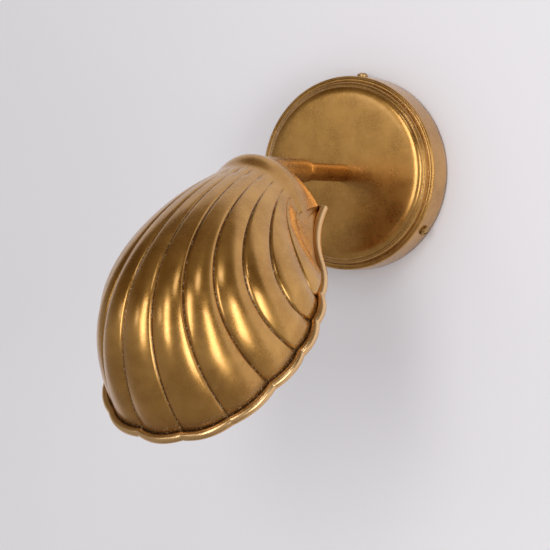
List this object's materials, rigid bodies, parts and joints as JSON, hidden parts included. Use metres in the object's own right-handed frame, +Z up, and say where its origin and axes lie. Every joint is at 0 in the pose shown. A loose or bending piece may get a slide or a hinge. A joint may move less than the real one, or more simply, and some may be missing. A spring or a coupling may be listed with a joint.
{
  "type": "shell wall sconce",
  "caption": "Wall light in aged brass with a round canopy, a short straight arm, a swivelling fluted shell shade and a lampholder inside it.",
  "frame": {"origin": "centre of the canopy on the wall", "axes": "-Y out of the wall along the arm, +Z up, +X to the right as seen from the room"},
  "size_m": [0.1274, 0.2391, 0.2063],
  "materials": {
    "aged_brass": "aged and hand rubbed, satin with darker patina in the grooves",
    "screw_brass": "satin",
    "zinc_steel": "bright zinc",
    "block_plastic": "matte",
    "fibre": "vulcanised fibre",
    "flex_sheath": "smooth heat resistant sheath",
    "holder_plastic": "moulded thermoset",
    "cap_metal": "bright",
    "bulb_glass": "frosted"
  },
  "bodies": {
    "wall_side": {"canopy": "aged_brass", "wall_bracket": "zinc_steel", "side_screw_top": "screw_brass", "side_screw_right": "screw_brass", "side_screw_left": "screw_brass", "terminal_block": "block_plastic", "terminal_screws": "zinc_steel", "block_screw": "zinc_steel", "earth_screw": "screw_brass", "earth_washer": "screw_brass", "arm_tube": "aged_brass", "arm_nipple": "zinc_steel", "arm_washer": "zinc_steel", "arm_nut": "screw_brass", "swivel_stem": "screw_brass", "friction_washer": "fibre", "wave_washer": "zinc_steel", "swivel_nut": "screw_brass", "arm_flex": "flex_sheath"},
    "shade": {"collar": "aged_brass", "shade_bolt": "screw_brass", "shell_shade": "aged_brass", "holder_strap": "zinc_steel", "strap_screw": "zinc_steel", "lampholder": "holder_plastic", "holder_contact_sleeve": "screw_brass", "holder_centre_contact": "screw_brass", "holder_screw_right": "zinc_steel", "holder_screw_left": "zinc_steel", "shade_flex": "flex_sheath", "bulb_cap": "cap_metal", "bulb_glass": "bulb_glass"}
  },
  "joints": [
    {"name": "shade_swivel", "type": "hinge", "parent": "wall_side", "child": "shade", "pos_m": [0, -0.0925, 0], "axis": [0, -1, 0], "range_deg": [-160, 160]}
  ]
}
